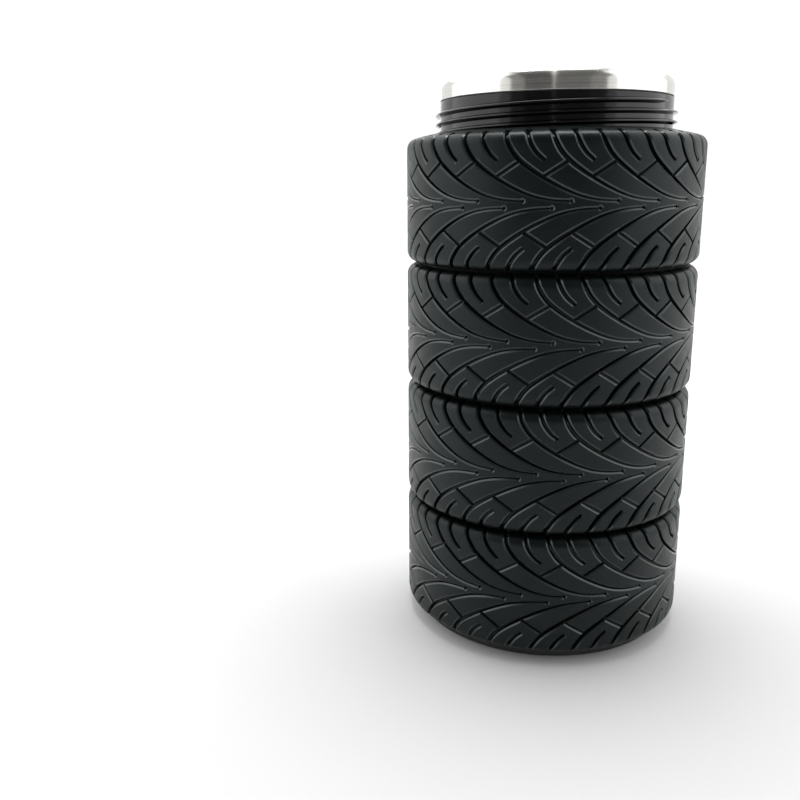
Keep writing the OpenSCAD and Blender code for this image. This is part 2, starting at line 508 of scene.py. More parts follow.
@dataclass(frozen=True)
class BrushedSteel:
    """Stainless steel turned and brushed round the axis."""

    name: str = "brushed stainless steel"
    dark: tuple[float, float, float] = (0.625, 0.615, 0.58)
    light: tuple[float, float, float] = (0.705, 0.695, 0.66)
    roughness: tuple[float, float] = (0.17, 0.20)
    lines_per_metre: float = 5200.0
    line_depth: float = 0.0000012
    slow_scale: float = 14.0
    anisotropy: float = 0.85

    def material(self) -> bpy.types.Material:
        """Builds the material.

        Returns:
            The node material.
        """
        kit = NodeKit(self.name)
        split = kit.tree.nodes.new("ShaderNodeSeparateXYZ")
        kit.link(kit.place, split.inputs[0])
        flat = kit.tree.nodes.new("ShaderNodeCombineXYZ")
        kit.link(split.outputs["X"], flat.inputs["X"])
        kit.link(split.outputs["Y"], flat.inputs["Y"])
        radius = kit.tree.nodes.new("ShaderNodeVectorMath")
        radius.operation = "LENGTH"
        kit.link(flat.outputs[0], radius.inputs[0])
        along = kit.tree.nodes.new("ShaderNodeMath")
        along.operation = "ADD"
        kit.link(radius.outputs["Value"], along.inputs[0])
        kit.link(split.outputs["Z"], along.inputs[1])
        fine = kit.tree.nodes.new("ShaderNodeMath")
        fine.operation = "MULTIPLY"
        fine.inputs[1].default_value = self.lines_per_metre
        kit.link(along.outputs[0], fine.inputs[0])
        turned = kit.tree.nodes.new("ShaderNodeCombineXYZ")
        slow = kit.scaled((self.slow_scale,) * 3)
        parts = kit.tree.nodes.new("ShaderNodeSeparateXYZ")
        kit.link(slow, parts.inputs[0])
        kit.link(parts.outputs["X"], turned.inputs["X"])
        kit.link(parts.outputs["Y"], turned.inputs["Y"])
        kit.link(fine.outputs[0], turned.inputs["Z"])
        lines = kit.noise(1.0, 3.0, turned.outputs[0])
        kit.link(kit.blend(lines, self.dark, self.light), kit.shader.inputs["Base Color"])
        kit.link(kit.ramp(lines, *self.roughness), kit.shader.inputs["Roughness"])
        kit.link(kit.bump(lines, self.line_depth), kit.shader.inputs["Normal"])
        tangent = kit.tree.nodes.new("ShaderNodeTangent")
        tangent.direction_type = "RADIAL"
        tangent.axis = "Z"
        kit.link(tangent.outputs[0], kit.shader.inputs["Tangent"])
        kit.set(Metallic=1.0, Anisotropic=self.anisotropy, Anisotropic_Rotation=0.25)
        return kit.material


@dataclass(frozen=True)
class MouldedPlastic:
    """Moulded plastic, from glossy to textured."""

    name: str
    dark: tuple[float, float, float]
    light: tuple[float, float, float]
    roughness: tuple[float, float]
    grain: float
    grain_depth: float
    gloss: float = 0.4
    cloud_scale: float = 45.0
    wear_scale: float = 150.0

    def material(self) -> bpy.types.Material:
        """Builds the material.

        Returns:
            The node material.
        """
        kit = NodeKit(self.name)
        colour = kit.blend(kit.noise(self.cloud_scale), self.dark, self.light)
        kit.link(colour, kit.shader.inputs["Base Color"])
        kit.link(kit.ramp(kit.noise(self.wear_scale), *self.roughness), kit.shader.inputs["Roughness"])
        kit.link(kit.bump(kit.noise(self.grain, 2.0), self.grain_depth), kit.shader.inputs["Normal"])
        kit.set(Specular_IOR_Level=self.gloss)
        return kit.material


@dataclass(frozen=True)
class CellFoam:
    """Pale closed-cell foam."""

    name: str = "closed-cell foam"
    dark: tuple[float, float, float] = (0.62, 0.60, 0.54)
    light: tuple[float, float, float] = (0.78, 0.76, 0.70)
    cells_per_metre: float = 900.0
    cloud_scale: float = 120.0
    cell_depth: float = 0.0003

    def material(self) -> bpy.types.Material:
        """Builds the material.

        Returns:
            The node material.
        """
        kit = NodeKit(self.name)
        cells = kit.tree.nodes.new("ShaderNodeTexVoronoi")
        cells.inputs["Scale"].default_value = self.cells_per_metre
        kit.link(kit.place, cells.inputs["Vector"])
        colour = kit.blend(kit.noise(self.cloud_scale), self.dark, self.light)
        kit.link(colour, kit.shader.inputs["Base Color"])
        kit.link(kit.bump(cells.outputs["Distance"], self.cell_depth), kit.shader.inputs["Normal"])
        kit.set(Roughness=0.9)
        return kit.material


class Finishes:
    """Every material of the barrel, built once."""

    def __init__(self) -> None:
        """Builds the materials."""
        self.rubber = Rubber("tyre rubber").material()
        # Painted highlight: a lighter, glossier copy of the rubber for the groove bevels, so their edges show
        # as light lines.
        self.edge = Rubber(
            name="rubbed tyre edge",
            dark=(0.005, 0.006, 0.006),
            light=(0.009, 0.011, 0.011),
            roughness=(0.28, 0.36),
            gloss=0.72,
        ).material()
        self.steel = BrushedSteel().material()
        self.neck = MouldedPlastic(
            name="glossy black plastic",
            dark=(0.0020, 0.0021, 0.0023),
            light=(0.0035, 0.0036, 0.0038),
            roughness=(0.10, 0.15),
            grain=240.0,
            grain_depth=0.00001,
        ).material()
        self.core = MouldedPlastic(
            name="textured black plastic",
            dark=(0.012, 0.012, 0.013),
            light=(0.018, 0.018, 0.019),
            roughness=(0.42, 0.55),
            grain=2600.0,
            grain_depth=0.00003,
        ).material()
        self.slip = MouldedPlastic(
            name="smooth black plastic",
            dark=(0.0008, 0.0008, 0.0008),
            light=(0.0014, 0.0014, 0.0014),
            roughness=(0.50, 0.60),
            grain=900.0,
            grain_depth=0.00001,
            gloss=0.1,
        ).material()
        self.seal = MouldedPlastic(
            name="soft seal",
            dark=(0.030, 0.030, 0.031),
            light=(0.042, 0.042, 0.043),
            roughness=(0.50, 0.62),
            grain=1500.0,
            grain_depth=0.00002,
        ).material()
        self.foam = CellFoam().material()


# ---------------------------------------------------------------- tyre rings


class Side(Enum):
    """The two halves of a tread, above and below its middle."""

    UPPER = 1
    LOWER = -1


@dataclass(frozen=True)
class GroovePoint:
    """One point of a groove: angle from the groove's inner end, height over the middle, width and depth."""

    angle: float
    height: float
    width: float
    depth: float


def smooth_path(points: Sequence[GroovePoint], steps: int) -> list[GroovePoint]:
    """Runs a Catmull-Rom curve through groove points.

    Args:
        points: Points that the curve passes through.
        steps: Number of stations between two points.

    Returns:
        The stations, the last point included.
    """
    path = []
    for i in range(len(points) - 1):
        p0, p1 = points[max(i - 1, 0)], points[i]
        p2, p3 = points[i + 1], points[min(i + 2, len(points) - 1)]
        for k in range(steps):
            t = k / steps
            values = []
            for name in ("angle", "height", "width", "depth"):
                a, b, c, d = (getattr(p, name) for p in (p0, p1, p2, p3))
                square = (2 * a - 5 * b + 4 * c - d) * t**2
                cube = (3 * b - a - 3 * c + d) * t**3
                values.append(0.5 * (2 * b + (c - a) * t + square + cube))
            path.append(GroovePoint(*values))
    path.append(points[-1])
    return path


def rounded_end(path: list[GroovePoint], radius: float, scale: float) -> list[GroovePoint]:
    """Adds stations that close a groove's last end in a half circle.

    Args:
        path: Stations of the groove.
        radius: Half the groove's width at its end, in millimetres.
        scale: Millimetres of arc in one degree.

    Returns:
        The path with its round end.
    """
    last, before = path[-1], path[-2]
    run = Vector(((last.angle - before.angle) * scale, last.height - before.height)).normalized()
    for turn in (25.0, 50.0, 70.0, 82.0):
        a = math.radians(turn)
        path.append(
            GroovePoint(
                last.angle + run.x * radius * math.sin(a) / scale,
                last.height + run.y * radius * math.sin(a),
                last.width * math.cos(a),
                last.depth,
            )
        )
    return path


@dataclass
class TyreRing:
    """One rubber tyre ring with a directional tread."""

    node: str
    body: str
    number: int
    crowned: bool
    finish: bpy.types.Material
    edge_highlight_finish: bpy.types.Material
    repeats: int = 22
    shoulder_in: float = 2.85
    shoulder_up: float = 3.0
    crown_rise: float = 1.3
    bevel: float = 0.34
    bevel_run: float = 0.46
    tread_drop: float = 0.45
    first_end: float = -3.1
    lower_lag: float = -6.4
    turn_per_ring: float = -4.4
    segments_per_repeat: int = 16
    long_groove: tuple[GroovePoint, ...] = (
        GroovePoint(-39.7, 21.6, 0.60, 0.8),
        GroovePoint(-39.5, 19.2, 0.85, 1.1),
        GroovePoint(-38.3, 15.6, 1.15, 1.5),
        GroovePoint(-35.1, 12.0, 1.15, 1.5),
        GroovePoint(-29.3, 8.5, 1.00, 1.5),
        GroovePoint(-21.6, 5.0, 0.75, 1.4),
        GroovePoint(-14.0, 2.45, 0.50, 1.2),
        GroovePoint(-7.0, 1.25, 0.32, 1.0),
        GroovePoint(0.0, 0.9, 0.26, 0.9),
    )
    short_groove: tuple[GroovePoint, ...] = (
        GroovePoint(-31.9, 21.6, 0.60, 0.8),
        GroovePoint(-31.8, 19.0, 0.85, 1.1),
        GroovePoint(-30.6, 15.6, 1.05, 1.4),
        GroovePoint(-28.4, 13.0, 0.95, 1.3),
        GroovePoint(-26.0, 11.4, 0.80, 1.2),
    )
    sipe: tuple[GroovePoint, ...] = (
        GroovePoint(-33.4, 11.3, 0.75, 0.9),
        GroovePoint(-42.4, 7.0, 0.75, 0.9),
    )
    dot_radius: float = 0.4
    bond_gap: float = 0.03
    lip_round: float = 0.35
    crown_run: float = 0.9
    crown_start: float = 0.32
    hub_clearance: float = 0.05
    flat_lift: float = 0.4
    shoulder_lift: float = 1.6
    pit_depth: float = 1.0
    long_end_radius: float = 0.27
    short_end_radius: float = 0.55
    bevel_slants: tuple[float, float] = (24.0, 50.0)
    edge_margin: float = 0.3
    crease_angle: float = 28.0
    outside: float = field(init=False)
    half: float = field(init=False)
    middle: float = field(init=False)
    bore: float = field(init=False)

    def __post_init__(self) -> None:
        """Takes the ring's size and place from the frame."""
        low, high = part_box(self.node)
        hub_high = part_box(self.node.replace("tyre", "hub"))[1]
        self.outside = high.x / MM
        top = high.z / MM - (self.crown_rise if self.crowned else 0.0)
        self.half = (top - low.z / MM) / 2
        self.middle = (top + low.z / MM) / 2
        self.bore = hub_high.x / MM + self.bond_gap

    @property
    def flat(self) -> float:
        """Measures the cylindrical part of the tread.

        Returns:
            Half its height.
        """
        return self.half - self.shoulder_up

    @property
    def shoulder_length(self) -> float:
        """Measures the shoulder's curve.

        Returns:
            Its length.
        """
        return math.pi / 2 * math.sqrt((self.shoulder_in**2 + self.shoulder_up**2) / 2)

    def surface(self, angle: float, along: float) -> tuple[Vector, Vector]:
        """Place and outward direction on the tread.

        Args:
            angle: Angle from the front (-Y) towards +X, in degrees.
            along: Distance from the middle along the tread's outline; negative below.

        Returns:
            The point in millimetres and the unit normal.
        """
        sign = 1 if along >= 0 else -1
        reach = abs(along)
        centre = self.outside - self.shoulder_in
        if reach <= self.flat:
            radius, height, out, up = self.outside, reach, 1.0, 0.0
        elif reach <= self.flat + self.shoulder_length:
            a = math.pi / 2 * (reach - self.flat) / self.shoulder_length
            radius = centre + self.shoulder_in * math.cos(a)
            height = self.flat + self.shoulder_up * math.sin(a)
            out, up = math.cos(a) / self.shoulder_in, math.sin(a) / self.shoulder_up
        else:
            radius = centre - (reach - self.flat - self.shoulder_length)
            height, out, up = self.half, 0.0, 1.0
        a = math.radians(angle)
        outward = Vector((math.sin(a), -math.cos(a), 0.0))
        normal = (outward * out + Vector((0.0, 0.0, up * sign))).normalized()
        return outward * radius + Vector((0.0, 0.0, self.middle + sign * height)), normal

    def tread(self, angle: float, height: float) -> tuple[Vector, Vector]:
        """Place and outward direction of a point of the tread pattern, which sits a little low.

        Args:
            angle: Angle from the front towards +X, in degrees.
            height: Distance from the pattern's middle; negative below.

        Returns:
            The point in millimetres and the unit normal.
        """
        return self.surface(angle, height - self.tread_drop)

    def outline(self) -> Outline:
        """Draws the uncut ring.

        Returns:
            Its closed outline.
        """
        mid, half, flat = self.middle, self.half, self.flat
        centre = self.outside - self.shoulder_in
        points: Outline = [(self.bore, mid - half)]
        points += straight((self.bore, mid - half), (centre, mid - half), 3)
        points += arc(centre, mid - flat, self.shoulder_in, self.shoulder_up, -90, 0, 8)
        points += straight((self.outside, mid - flat), (self.outside, mid + flat), 26)
        points += arc(centre, mid + flat, self.shoulder_in, self.shoulder_up, 0, 90, 8)
        if self.crowned:
            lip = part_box(self.node)[1].z / MM
            inner = lip_radius()
            run, rise, edge = self.crown_run, self.crown_start, self.lip_round
            knee = (centre - run, mid + half + rise)
            points += [(centre - run / 2, mid + half + rise / 2), knee]
            points += straight(knee, (inner + edge, lip), 4)
            points += arc(inner + edge, lip - edge, edge, edge, 90, 180, 4)
            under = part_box("top_hub")[1].z / MM + self.hub_clearance
            points += [(inner, under), (self.bore, under)]
        else:
            points += straight((centre, mid + half), (self.bore, mid + half), 3)
            points.append((self.bore, mid + half))
        return points

    def groove(self, path: Sequence[GroovePoint], side: Side) -> bpy.types.Object:
        """Sweeps a cutter along a path on the tread, with a bevel where it meets the surface.

        Args:
            path: Stations of the groove.
            side: Half of the tread that it lies in.

        Returns:
            A closed cutter.
        """
        lag = 0.0 if side is Side.UPPER else self.lower_lag
        places = [self.tread(p.angle + lag, p.height * side.value) for p in path]
        vertices: list[Vector] = []
        for i, (station, (point, normal)) in enumerate(zip(path, places)):
            ahead = places[min(i + 1, len(places) - 1)][0] - places[max(i - 1, 0)][0]
            across = normal.cross(ahead).normalized()
            half = station.width / 2
            on_shoulder = abs(station.height) > self.flat + 0.6 * self.shoulder_length
            lift = self.shoulder_lift if on_shoulder else self.flat_lift
            wide = half + 1.25 * self.bevel_run
            section = [
                (-half * 0.4, -station.depth), (half * 0.4, -station.depth), (half, -self.bevel),
                (wide, 0.25 * self.bevel), (wide, lift),
                (-wide, lift), (-wide, 0.25 * self.bevel), (-half, -self.bevel),
            ]
            vertices += [point + across * x + normal * y for x, y in section]
        return new_object("groove", vertices, swept_faces(len(path), len(vertices) // len(path)))

    def dot(self, side: Side) -> bpy.types.Object:
        """Makes a cutter for the round pit at the inner end of a long groove.

        Args:
            side: Half of the tread that it lies in.

        Returns:
            A closed cutter.
        """
        lag = 0.0 if side is Side.UPPER else self.lower_lag
        end = self.long_groove[-1]
        point, normal = self.tread(end.angle + lag, end.height * side.value)
        across = normal.cross(Vector((0, 0, 1))).normalized()
        up = normal.cross(across)
        slope = self.bevel_run / self.bevel
        rim = 1.0 + (0.1 + self.bevel) * slope / self.dot_radius
        rings = [(-self.pit_depth, 0.8), (-self.bevel, 1.0), (0.1, rim)]
        count = 14
        vertices = []
        for level, grow in rings:
            for k in range(count):
                a = 2 * math.pi * k / count
                offset = across * math.cos(a) + up * math.sin(a)
                vertices.append(point + offset * self.dot_radius * grow + normal * level)
        return new_object("dot", vertices, swept_faces(len(rings), count))

    def cutters(self) -> list[bpy.types.Object]:
        """Makes all the cutters of the tread, repeated round the ring.

        Returns:
            Closed cutters, one object for each kind and side.
        """
        scale = math.radians(1.0) * self.outside
        turn = self.first_end + self.turn_per_ring * self.number
        cutters = []
        for side in Side:
            long_path = rounded_end(smooth_path(self.long_groove, 5), self.long_end_radius, scale)
            short_path = rounded_end(smooth_path(self.short_groove, 4), self.short_end_radius, scale)
            shapes = [
                self.groove(long_path, side),
                self.groove(short_path, side),
                self.groove(smooth_path(self.sipe, 5), side),
                self.dot(side),
            ]
            cutters += [repeat(shape, self.repeats, turn, self.finish) for shape in shapes]
        return cutters

    def slant(self, centre: Vector, normal: Vector) -> float:
        """Compares a face with the uncut tread over it.

        Args:
            centre: Centre of the face in metres.
            normal: Its normal.

        Returns:
            The angle between the two in degrees.
        """
        radius = math.hypot(centre.x, centre.y) / MM
        height = centre.z / MM - self.middle
        out = (radius - self.outside + self.shoulder_in) / self.shoulder_in**2
        up = math.copysign(max(0.0, abs(height) - self.flat), height) / self.shoulder_up**2
        away = Vector((centre.x, centre.y, 0.0)).normalized() * out + Vector((0.0, 0.0, up))
        return math.degrees(away.angle(normal, 0.0))

    def paint_edge_highlights(self, piece: bpy.types.Object) -> None:
        """Gives the bevels along the grooves a lighter, glossier copy of the rubber: the lighter colour is a
        painted highlight, the gloss and smoothness change how they reflect.

        Args:
            piece: Carved ring.
        """
        piece.data.materials.append(self.edge_highlight_finish)
        deepest = (self.outside - 2 * self.bevel) * MM
        least, most = self.bevel_slants
        for face in piece.data.polygons:
            reach = abs(face.center.z / MM - self.middle)
            on_tread = math.hypot(face.center.x, face.center.y) > deepest or reach > self.flat
            if not on_tread or reach >= self.half - self.edge_margin:
                continue
            # Painted highlight: bevel faces in this slant range get the lighter edge material.
            if least < self.slant(face.center, face.normal) < most:
                face.material_index = 1

    def build(self) -> bpy.types.Object:
        """Makes the carved ring and hands it to the frame.

        Returns:
            The finished piece.
        """
        blank = lathe(self.node + "_tread", self.outline(), self.repeats * self.segments_per_repeat)
        dress(blank, self.finish)
        piece = carve(blank, self.cutters())
        dress(piece, self.finish)
        self.paint_edge_highlights(piece)
        shade(piece, self.crease_angle)
        hand_over(piece, self.body, "tyre_rubber", self.node)
        return piece


def lip_radius() -> float:
    """Finds where the top ring's lip ends.

    Returns:
        Its inner radius in millimetres, clear of the thread on the neck band.
    """
    return Neck.band_radius() + LIP_GAP


# ---------------------------------------------------------------- neck, liner and seals


def helix_ridge(
    name: str,
    section: Callable[[float], Outline],
    start: float,
    turns: float,
    low: float,
    lead: float,
    per_turn: int,
) -> bpy.types.Object:
    """Sweeps a ridge's section up a right-handed helix.

    Args:
        name: Name of the new object.
        section: Gives the section as (radius, height) points for a share 0..1 of the way up.
        start: Angle of the lower end in degrees, from +X.
        turns: Number of turns.
        low: Height of the lower end.
        lead: Rise in one turn.
        per_turn: Number of stations in one turn.

    Returns:
        A closed ridge.
    """
    vertices: list[Vector] = []
    count = math.ceil(per_turn * turns)
    for i in range(count + 1):
        share = i / count
        a = math.radians(start + 360 * turns * share)
        for r, z in section(share):
            vertices.append(Vector((r * math.cos(a), r * math.sin(a), low + lead * turns * share + z)))
    return new_object(name, vertices, swept_faces(count + 1, len(vertices) // (count + 1)))


@dataclass
class Neck:
    """Glossy neck collar with its two-start thread."""

    finish: bpy.types.Material
    ridge_height: float = 1.28
    lead: float = 5.3
    starts: int = 2
    below_rim: float = 2.0
    above_lip: float = -0.35
    end_angle: float = -34.0
    fade_angle: float = 16.0
    spigot_step: float = 0.6
    wall: float = 3.6
    skirt_inset: float = 2.1
    segments: int = 240

    @staticmethod
    def band_radius() -> float:
        """Finds the smooth neck band's size from the rim over it.

        Returns:
            Its radius in millimetres.
        """
        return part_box("steel_liner")[1].x / MM - RIM_OVERHANG

    def section(self, share: float, turns: float) -> Outline:
        """Ridge section: a gently sloping top and a fuller underside, faded at both ends.

        Args:
            share: How far up the ridge the section lies, from 0 to 1.
            turns: The ridge's number of turns.

        Returns:
            The section as (radius, height) points about the ridge's middle.
        """
        to_end = min(share, 1 - share) * 360 * turns
        size = min(1.0, 0.02 + to_end / self.fade_angle)
        size = math.sin(size * math.pi / 2)
        band, out = self.band_radius(), self.ridge_height * size
        return [
            (band - 0.5, -0.9), (band - 0.02, -0.80 * size - 0.03), (band + 0.22 * size, -0.70 * size),
            (band + out - 0.16 * size, -0.28 * size), (band + out - 0.03 * size, -0.16 * size),
            (band + out, 0.0), (band + out - 0.06 * size, 0.16 * size),
            (band + out - 0.28 * size, 0.38 * size), (band + 0.3 * size, 0.56 * size),
            (band - 0.02, 0.68 * size + 0.03), (band - 0.5, 0.8),
        ]

    def build(self) -> bpy.types.Object:
        """Makes the collar and hands it to the frame.

        Returns:
            The finished piece.
        """
        band = self.band_radius()
        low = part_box("neck_collar")[0].z / MM
        core_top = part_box("core_tube")[1].z / MM
        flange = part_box("neck_collar")[1].x / MM
        flange_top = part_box("top_hub")[1].z / MM
        band_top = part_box("rim_gasket")[0].z / MM
        rim_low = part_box("rim_gasket")[1].z / MM
        lip_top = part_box("top_tyre")[1].z / MM
        spigot = band - self.spigot_step
        spigot_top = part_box("neck_collar")[1].z / MM
        bore = band - self.wall
        skirt = flange - self.skirt_inset
        collar = lathe("neck_collar_moulding", [
            (bore, low), (skirt - 0.4, low), (skirt, low + 0.4), (skirt, core_top),
            (flange - 0.2, core_top), (flange, core_top + 0.2), (flange, flange_top - 0.3),
            (flange - 0.3, flange_top), (band + 0.25, flange_top), (band, flange_top + 0.25),
            *straight((band, flange_top + 0.25), (band, band_top - 0.3), 10),
            *arc(band - 0.3, band_top - 0.3, 0.3, 0.3, 0, 90, 4),
            (spigot, band_top), (spigot, spigot_top - 0.3), (spigot - 0.3, spigot_top),
            (bore + 0.3, spigot_top), (bore, spigot_top - 0.3),
        ], self.segments)
        height = rim_low - self.below_rim - (lip_top + self.above_lip)
        turns = height / self.lead
        parts = [collar]
        for start in range(self.starts):
            first = self.end_angle + 360 * start / self.starts - 360 * turns
            low_end = lip_top + self.above_lip
            parts.append(helix_ridge(
                "ridge", lambda share: self.section(share, turns), first, turns, low_end, self.lead, 180
            ))
        piece = fuse(parts, self.finish)
        shade(piece, 34.0)
        hand_over(piece, "barrel", "neck_black", "neck_collar")
        return piece


def fuse(parts: Sequence[bpy.types.Object], finish: bpy.types.Material) -> bpy.types.Object:
    """Unites closed solids into the first one.

    Args:
        parts: Closed solids; all but the first are removed.
        finish: Material of the result.

    Returns:
        The united solid.
    """
    first, *others = parts
    for part in others:
        merge = first.modifiers.new("fuse", "BOOLEAN")
        merge.operation = "UNION"
        merge.solver = "MANIFOLD"
        merge.object = part
    freeze(first)
    for part in others:
        bpy.data.objects.remove(part, do_unlink=True)
    return dress(first, finish)


@dataclass
class SteelLiner:
    """Drawn steel liner with its mouth folded over the neck."""

    finish: bpy.types.Material
    sheet: float = 0.6
    rim_height: float = 6.0
    round_up: float = 3.2
    roll: float = 1.0
    wall: float = 4.36
    taper: float = 1.9
    corner: float = 7.0
    straight_length: float = 45.0
    segments: int = 288

    def build(self) -> bpy.types.Object:
        """Makes the liner and hands it to the frame.

        Returns:
            The finished piece.
        """
        low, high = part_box("steel_liner")
        top, floor = high.z / MM, low.z / MM
        outside = high.x / MM
        mouth = outside - self.wall
        edge = top - self.rim_height
        crest = mouth + self.roll
        foot = mouth - self.taper
        sheet, corner = self.sheet, self.corner
        bend = top - self.straight_length
        corner_z = floor + sheet + corner
        outer_fold = arc(crest, top - self.round_up, outside - crest, self.round_up, 0, 90, 18)
        inner_fold = arc(
            crest, top - self.round_up, outside - crest - sheet, self.round_up - sheet, 90, 0, 10
        )
        outline: Outline = [(0.0, floor)]
        outline += straight((0.0, floor), (foot - corner, floor), 6)
        outline += arc(foot - corner, corner_z, corner + sheet, corner + sheet, -90, 0, 12)
        outline += straight((foot + sheet, corner_z), (mouth + sheet, bend), 8)
        outline += [(mouth + sheet, bend), (mouth + sheet, top - self.roll - sheet)]
        outline += arc(crest, top - self.roll - sheet, crest - mouth - sheet, self.roll, 180, 90, 4)[:-1]
        outline += inner_fold
        outline += [(outside - sheet, edge + 0.06), (outside - sheet + 0.06, edge)]
        outline += arc(outside - 0.06, edge + 0.06, 0.06, 0.06, -90, 0, 2)
        outline += [(outside, edge + 0.12)]
        outline += straight((outside, edge + 0.12), (outside, top - self.round_up), 4)
        outline += outer_fold
        outline += arc(crest, top - self.roll, self.roll, self.roll, 90, 180, 8)[1:]
        outline += straight((mouth, top - self.roll), (mouth, bend), 20)
        outline += [(mouth, bend)]
        outline += straight((mouth, bend), (foot, corner_z), 40)
        outline += arc(foot - corner, corner_z, corner, corner, 0, -90, 16)
        outline += [(foot - corner - 1.2, floor + sheet), (foot - corner - 2.0, floor + sheet + 0.25)]
        outline += straight((foot - corner - 2.0, floor + sheet + 0.25), (0.0, floor + sheet + 0.55), 8)
        outline += [(0.0, floor + sheet + 0.55)]
        piece = dress(lathe("steel_liner_shell", outline, self.segments), self.finish)
        shade(piece, 40.0)
        hand_over(piece, "barrel", "steel", "steel_liner")
        return piece


@dataclass
class RoundSeal:
    """Flat seal ring with a rounded outer lip."""

    finish: bpy.types.Material
    node: str
    body: str
    width: float
    segments: int

    def build(self) -> bpy.types.Object:
        """Makes the seal and hands it to the frame.

        Returns:
            The finished piece.
        """
        low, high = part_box(self.node)
        outer = high.x / MM
        inner = outer - self.width
        bottom, top = low.z / MM, high.z / MM
        half = (top - bottom) / 2
        outline = [(inner, bottom), *arc(outer - half, bottom + half, half, half, -90, 90, 6), (inner, top)]
        name = self.node.replace("gasket", "seal") + "_ring"
        piece = dress(lathe(name, outline, self.segments), self.finish)
        shade(piece)
        hand_over(piece, self.body, "seal_rubber", self.node)
        return piece


# ---------------------------------------------------------------- base


@dataclass
class BaseCap:
    """Screwed base cap with a threaded spigot and spanner pockets underneath."""

    finish: bpy.types.Material
    spigot_wall: float = 2.0
    thread_height: float = 0.75
    pitch: float = 3.1
    pockets: int = 6
    pocket_circle: float = 20.0
    foot_width: float = 11.0
    core_wall: float = 2.05
    fade_angle: float = 25.0
    segments: int = 240

    def build(self) -> bpy.types.Object:
        """Makes the cap and hands it to the frame.

        Returns:
            The finished piece.
        """
        low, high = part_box("base_cap")
        seal_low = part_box("base_gasket")[0].z / MM
        bottom, top = low.z / MM, high.z / MM
        edge = high.x / MM
        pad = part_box("foot_pad")
        pad_out = pad[1].x / MM + 0.03
        pad_in = pad_out - self.foot_width
        seat = pad[1].z / MM + 0.01
        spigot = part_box("core_tube")[1].x / MM - self.core_wall
        root = spigot - self.thread_height
        inner = spigot - self.spigot_wall
        dish = bottom + 0.7
        cap = lathe("base_cap_moulding", [
            (0.0, dish), *straight((0.0, dish), (14.0, dish), 3), (14.0, dish), (14.4, dish - 0.3),
            (15.4, dish - 0.3), (15.8, dish), (pad_in - 2.6, dish), (pad_in - 2.0, bottom),
            (pad_in, bottom), (pad_in, seat), (pad_out, seat), (pad_out, bottom),
            *arc(edge - 1.0, bottom + 1.0, 1.0, 1.0, -90, 0, 8),
            *arc(edge - 0.25, seal_low - 0.25, 0.25, 0.25, 0, 90, 3),
            (root, seal_low), (root, top - 0.6), (root - 0.6, top), (inner + 0.3, top),
            (inner, top - 0.3), (inner, seal_low - 0.25), (0.0, seal_low - 0.25),
        ], self.segments)
        turns = (top - seal_low - 2.2) / self.pitch

        def section(share: float) -> Outline:
            """Trapezoidal thread section, faded at both ends.

            Args:
                share: How far up the thread the section lies, from 0 to 1.

            Returns:
                The section as (radius, height) points.
            """
            size = min(1.0, 0.05 + min(share, 1 - share) * 360 * turns / self.fade_angle)
            crest = root + (self.thread_height - 0.02) * size
            return [(root - 0.4, -0.95), (crest, -0.35 * size), (crest, 0.35 * size), (root - 0.4, 0.95)]

        thread = helix_ridge("thread", section, 20.0, turns, seal_low + 1.1, self.pitch, 120)
        piece = fuse([cap, thread], self.finish)
        pocket = lathe("pocket", [
            (0.0, bottom - 0.5), (2.1, bottom - 0.5), (2.1, dish + 0.9), (1.9, dish + 1.1), (0.0, dish + 1.1),
        ], 24)
        for vertex in pocket.data.vertices:
            vertex.co.x += self.pocket_circle * MM
        carve(piece, [repeat(pocket, self.pockets, 0.0, self.finish)])
        shade(piece, 34.0)
        hand_over(piece, "base", "core_black", "base_cap")
        return piece


@dataclass
class FootPad:
    """Rubber ring under the base, with radial ribs for grip."""

    finish: bpy.types.Material
    width: float = 10.94
    ribs: int = 60
    rib_reach: float = 0.45
    segments: int = 240

    def build(self) -> bpy.types.Object:
        """Makes the ring and hands it to the frame.

        Returns:
            The finished piece.
        """
        low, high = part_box("foot_pad")
        outer, inner = high.x / MM, high.x / MM - self.width
        bottom, top = low.z / MM, high.z / MM
        ring = lathe("foot_pad_ring", [
            (inner, top), (inner, bottom + 0.4), *arc(inner + 0.4, bottom + 0.4, 0.4, 0.4, 180, 270, 4),
            (inner + 1.6, bottom), (inner + 1.9, bottom + 0.3),
            (outer - 1.9, bottom + 0.3), (outer - 1.6, bottom),
            *arc(outer - 0.4, bottom + 0.4, 0.4, 0.4, 270, 360, 4), (outer, top),
        ], self.segments)
        start, end, side = inner + 1.2, outer - 1.2, self.rib_reach
        rib = new_object("rib", [
            (x, y, z)
            for x, y in ((start, -side), (end, -side), (end, side), (start, side))
            for z in (bottom, bottom + 0.6)
        ], [(0, 2, 4, 6), (1, 3, 5, 7), (0, 1, 3, 2), (2, 3, 5, 4), (4, 5, 7, 6), (6, 7, 1, 0)])
        piece = fuse([ring, repeat(rib, self.ribs, 0.0, self.finish)], self.finish)
        shade(piece)
        hand_over(piece, "base", "tyre_rubber", "foot_pad")
        return piece


# ---------------------------------------------------------------- studio


@dataclass(frozen=True)
class Card:
    """A curved studio panel: angles in degrees from the front, and how bright it is.

    A parallel one has sides that run straight up and over, and its angles start from the camera's side.
    """

    name: str
    start: float
    end: float
    low: float
    high: float
    glow: float
    lean: float = 0.0
    parallel: bool = False


